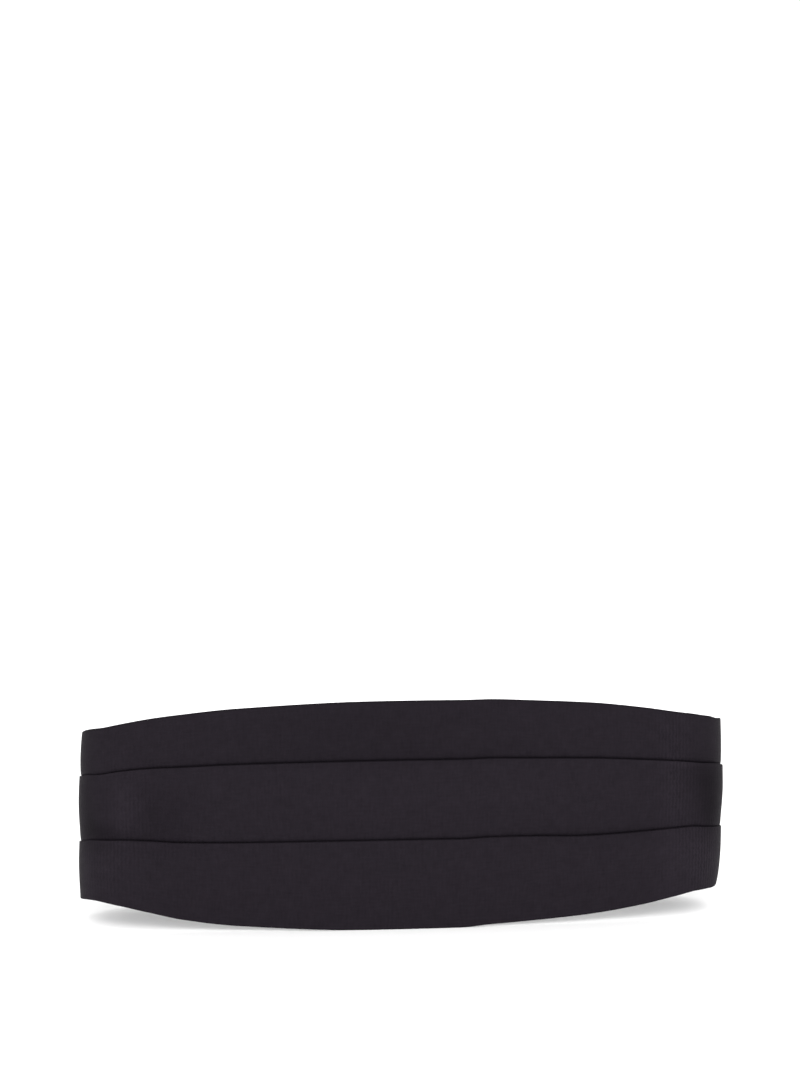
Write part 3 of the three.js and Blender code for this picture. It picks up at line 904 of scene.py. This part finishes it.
def make_clasp():
    """The clasp's plate, with eased edges, bent round the back of the ring."""
    middle = clasp_height / 2
    outlines = [((0, middle), (2 * bar_outer, clasp_height), CLASP_CORNER, 1)]
    for side in (-1, 1):
        centre = side * (bar_inner - SLOT_WIDTH / 2)
        outlines.append(((centre, middle), (SLOT_WIDTH, SLOT_HEIGHT), SLOT_CORNER, -1))
    levels = clasp_edge()
    points, faces, rings = [], [], []
    for centre, size, radius, outward in outlines:
        first = len(points)
        loops = [rounded_loop(centre, size, radius, outward * inset) for inset, _ in levels]
        count = len(loops[0])
        for loop, (_, depth) in zip(loops, levels):
            points.extend((x, y, depth) for x, y in loop)
        side_faces = grid_faces(len(levels), count, wrap=True, first=first)
        faces.extend(flipped(side_faces, outward < 0))
        rings.append((first, count, loops))
    for level, flip in ((0, True), (len(levels) - 1, False)):
        numbers = [first + level * count + k for first, count, _ in rings for k in range(count)]
        flat = flat_faces([loops[level] for _, _, loops in rings], numbers)
        faces.extend(flipped(flat, flip))
    bent = []
    for across, up, depth in points:
        side = -1 if across < 0 else 1
        along = side * (ring.half - abs(across))
        bent.append(ring.place(along, clasp_offset - depth, up))
    return mesh_object("clasp_plate", bent, faces, smooth_angle=30)


class Look:
    """A new material, with helpers that add nodes to it and set its shader's sockets."""

    def __init__(self, name):
        self.material = bpy.data.materials.new(name)
        self.material.use_nodes = True
        self.tree = self.material.node_tree
        self.shader = self.tree.nodes["Principled BSDF"]

    def fill(self, socket, value):
        """Links a node's output to a socket, or sets the socket to a constant."""
        if isinstance(value, bpy.types.NodeSocket):
            self.tree.links.new(value, socket)
        else:
            socket.default_value = value

    def set(self, name, value):
        """Fills one of the shader's sockets."""
        self.fill(self.shader.inputs[name], value)

    def node(self, kind, inputs, **settings):
        """A new node, with its settings made and its inputs filled."""
        made = self.tree.nodes.new(kind)
        for key, value in settings.items():
            setattr(made, key, value)
        for key, value in inputs.items():
            self.fill(made.inputs[key], value)
        return made

    def on_cloth(self, per_mm_along=1, per_mm_across=1):
        """Places on the cloth's own map, in mm along and across, or so many units to the mm."""
        scale = (per_mm_along / MM, per_mm_across / MM, 1)
        uv = self.node("ShaderNodeUVMap", {}, uv_map="cloth").outputs[0]
        return self.node("ShaderNodeMapping", {"Vector": uv, "Scale": scale}).outputs[0]

    def in_object(self):
        """Places in the piece's own space, in metres."""
        return self.node("ShaderNodeTexCoord", {}).outputs["Object"]

    def attribute(self, name):
        """A value that the mesh holds for each of its points."""
        return self.node("ShaderNodeAttribute", {}, attribute_name=name).outputs["Fac"]

    def noise(self, place, scale, detail=2.0, roughness=0.5):
        """Soft noise, nearly all of it between NOISE_LOW and NOISE_HIGH."""
        inputs = {"Vector": place, "Scale": scale, "Detail": detail, "Roughness": roughness}
        return self.node("ShaderNodeTexNoise", inputs).outputs["Fac"]

    def ridges(self, place, direction, scale, distortion, unevenness=1.0):
        """Parallel ridges of 0 to 1, pi / (10 scale) apart."""
        inputs = {
            "Vector": place,
            "Scale": scale,
            "Distortion": distortion,
            "Detail": 1.0,
            "Detail Scale": unevenness,
        }
        settings = dict(wave_type="BANDS", bands_direction=direction, wave_profile="SIN")
        return self.node("ShaderNodeTexWave", inputs, **settings).outputs["Fac"]

    def spread(self, value, to_low, to_high, low=NOISE_LOW, high=NOISE_HIGH):
        """A value that runs from low to high, made to run from to_low to to_high."""
        inputs = {"Value": value, "From Min": low, "From Max": high, "To Min": to_low, "To Max": to_high}
        return self.node("ShaderNodeMapRange", inputs).outputs[0]

    def math(self, kind, *values):
        """What a math node makes of its values."""
        return self.node("ShaderNodeMath", dict(enumerate(values)), operation=kind).outputs[0]

    def tinted(self, colour, tone):
        """A colour, so many times as light."""
        return self.node("ShaderNodeVectorMath", {0: colour, "Scale": tone}, operation="SCALE").outputs[0]

    def bump(self, height, strength, depth_mm, below=None):
        """A relief, depth_mm high for a height of 1, on top of another relief if there is one below."""
        inputs = {"Height": height, "Strength": strength, "Distance": depth_mm * MM}
        if below is not None:
            inputs["Normal"] = below
        return self.node("ShaderNodeBump", inputs).outputs[0]


def satin_material():
    """Black ribbed satin: fine ribs and floats, short streaks where yarns differ, a faint moire that is
    partly painted highlights where the cloth bends, and patches of painted shade and painted highlights.
    """
    look = Look("black_satin")

    def streaks(per_mm_along, per_mm_across, detail=2.0):
        """Noise of about -1 to 1, with so many features per mm along the cloth and across it."""
        place = look.on_cloth(per_mm_along, per_mm_across)
        return look.spread(look.noise(place, 1.0, detail), -1, 1)

    def bands(direction, pitch_mm, distortion, unevenness=1.0):
        """Parallel ridges of 0 to 1, so many mm apart."""
        scale = math.pi / (10 * pitch_mm)
        return look.ridges(look.on_cloth(), direction, scale, distortion, unevenness)

    ribs = bands("X", RIB_PITCH_MM, distortion=0.5)
    floats = bands("Y", FLOAT_PITCH_MM, distortion=1.2)
    weave = look.math("MULTIPLY", ribs, floats)
    upright = streaks(per_mm_along=0.8, per_mm_across=0.15)
    level = streaks(per_mm_along=0.14, per_mm_across=0.8)
    mottle = streaks(per_mm_along=0.12, per_mm_across=0.12)
    here_and_there = look.math("MAXIMUM", streaks(0.05, 0.03, detail=1.0), 0.0)
    shown = look.math("MULTIPLY_ADD", here_and_there, STRAY_MOIRE, look.attribute("ribs"))
    # The moire is a faint relief of the cloth and, in its colour, partly painted highlights where the
    # cloth bends.
    moire_and_sheen = bands("X", MOIRE_PITCH_MM, distortion=3.6, unevenness=2.6)
    moire_and_sheen = look.math("MULTIPLY", look.math("SUBTRACT", moire_and_sheen, 0.5), shown)

    tone = 1.0
    for pattern, strength in ((upright, 0.09), (level, 0.07), (mottle, 0.05), (moire_and_sheen, 0.3)):
        tone = look.math("MULTIPLY_ADD", pattern, strength, tone)
    # Painted shade and painted highlights: the colour made lighter or darker where the panel's points
    # say.
    tone = look.math("MULTIPLY_ADD", tone, look.attribute("painted_shade_and_light"), tone)
    normal = look.bump(weave, strength=0.5, depth_mm=0.08)
    normal = look.bump(moire_and_sheen, strength=0.5, depth_mm=0.1, below=normal)
    normal = look.bump(upright, strength=0.35, depth_mm=0.05, below=normal)
    normal = look.bump(level, strength=0.3, depth_mm=0.05, below=normal)

    look.set("Base Color", look.tinted(SATIN_COLOUR, tone))
    look.set("Roughness", look.math("MULTIPLY_ADD", upright, SATIN_UNEVENNESS, SATIN_ROUGHNESS))
    look.set("Normal", normal)
    look.set("Specular IOR Level", 0.02)
    look.set("Specular Tint", (*SATIN_SHINE, 1))
    return look.material


def thread_material():
    """Black sewing thread, with fine fibres."""
    look = Look("black_thread")
    fibres = look.noise(look.in_object(), 4000.0)
    look.set("Normal", look.bump(fibres, strength=0.4, depth_mm=0.03))
    look.set("Base Color", (*THREAD_COLOUR, 1))
    look.set("Roughness", 0.45)
    look.set("Specular IOR Level", 0.2)
    return look.material


def webbing_material():
    """Black ribbed webbing: ribs across the strap, yarns along it, and a fine speckle."""
    look = Look("black_webbing")
    place = look.on_cloth()
    ribs = look.ridges(place, "X", scale=0.3, distortion=0.3)
    yarns = look.ridges(place, "Y", scale=0.55, distortion=0.8)
    weave = look.math("MULTIPLY", ribs, yarns)
    speckle = look.noise(place, 0.8)
    look.set("Base Color", look.tinted(WEBBING_COLOUR, look.spread(speckle, 0.75, 1.25)))
    look.set("Roughness", look.spread(weave, 0.75, 0.6, low=0.0, high=1.0))
    look.set("Normal", look.bump(weave, strength=0.8, depth_mm=0.18))
    look.set("Specular IOR Level", 0.08)
    return look.material


def clasp_material():
    """Black lacquered metal, with fine scuffs."""
    look = Look("black_lacquer")
    scuffs = look.noise(look.in_object(), 900.0, detail=4.0, roughness=0.7)
    worn = look.noise(look.in_object(), 90.0)
    look.set("Base Color", look.tinted(LACQUER_COLOUR, look.spread(scuffs, 0.85, 1.2)))
    look.set("Roughness", look.spread(worn, 0.28, 0.42))
    look.set("Normal", look.bump(scuffs, strength=0.15, depth_mm=0.02))
    look.set("Specular IOR Level", 0.3)
    return look.material


def floor_material():
    """Near-white paper, with a faint grain."""
    look = Look("floor_paper")
    grain = look.noise(look.in_object(), 400.0, detail=3.0)
    look.set("Base Color", look.spread(grain, 0.935, 0.95))
    look.set("Roughness", 0.9)
    look.set("Specular IOR Level", 0.1)
    return look.material


def make_camera():
    """The camera, at the photograph's angle to the front."""
    data = bpy.data.cameras.new("camera")
    camera = bpy.data.objects.new("camera", data)
    bpy.context.scene.collection.objects.link(camera)
    bpy.context.scene.camera = camera
    focal_px = CAMERA_DISTANCE / MM / MM_PER_PX
    data.sensor_width = SENSOR
    data.lens = focal_px * SENSOR / PHOTO_HEIGHT_PX
    data.clip_start = CLIP_NEAR
    data.clip_end = CLIP_FAR
    ring_middle_y = ring.front_y + ring.y[-1] / 2
    level = CAMERA_DISTANCE * math.cos(CAMERA_ELEVATION)
    camera.location = (
        -level * math.sin(CAMERA_AZIMUTH),
        ring_middle_y - level * math.cos(CAMERA_AZIMUTH),
        AIM_HEIGHT + CAMERA_DISTANCE * math.sin(CAMERA_ELEVATION),
    )
    azimuth = CAMERA_AZIMUTH - math.atan(OBJECT_RIGHT_OF_MIDDLE_PX / focal_px)
    forward = (
        math.sin(azimuth) * math.cos(CAMERA_PITCH),
        math.cos(azimuth) * math.cos(CAMERA_PITCH),
        -math.sin(CAMERA_PITCH),
    )
    camera.rotation_euler = Vector(forward).to_track_quat("-Z", "Y").to_euler()


def area_light(name, at, toward, size, watts):
    """A soft rectangular light that faces a point."""
    data = bpy.data.lights.new(name, "AREA")
    data.shape = "RECTANGLE"
    data.size, data.size_y = size
    data.energy = watts
    light = bpy.data.objects.new(name, data)
    bpy.context.scene.collection.objects.link(light)
    light.location = at
    direction = Vector(toward) - Vector(at)
    light.rotation_euler = direction.to_track_quat("-Z", "Y").to_euler()


def make_studio():
    """A pale floor, a white room and soft lights."""
    scene = bpy.context.scene
    scene.view_settings.view_transform = "Standard"
    world = bpy.data.worlds.new("studio")
    scene.world = world
    world.use_nodes = True
    background = world.node_tree.nodes["Background"]
    background.inputs["Color"].default_value = (*WHITE, 1)
    background.inputs["Strength"].default_value = ROOM_BRIGHTNESS

    corners = [(x * FLOOR_REACH, y * FLOOR_REACH, 0) for x, y in ((-1, -1), (1, -1), (1, 1), (-1, 1))]
    floor = mesh_object("floor", corners, [(0, 1, 2, 3)])
    floor.data.materials.append(floor_material())

    for light in LIGHTS:
        area_light(**light)


def dress(piece, material, slot, *nodes):
    """Gives a piece its material, and lets it stand for CAD nodes and ride on the part. The slot is not
    used.
    """
    piece.data.materials.append(material)
    if nodes:
        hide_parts(*nodes)
    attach(piece, "root")
    return piece


make_camera()
satin = satin_material()
webbing = webbing_material()
lacquer = clasp_material()
thread = thread_material()

panel = dress(make_panel(), satin, "satin", "pleated_front")
left = dress(make_strap("left_webbing", -1), webbing, "strap_webbing", "left_strap")
right = dress(make_strap("right_webbing", 1), webbing, "strap_webbing", "right_strap")
dress(make_clasp(), lacquer, "clasp_metal", "clasp")
dress(end_seams(), thread, "satin")
dress(strap_seams(), thread, "strap_webbing")

make_studio()
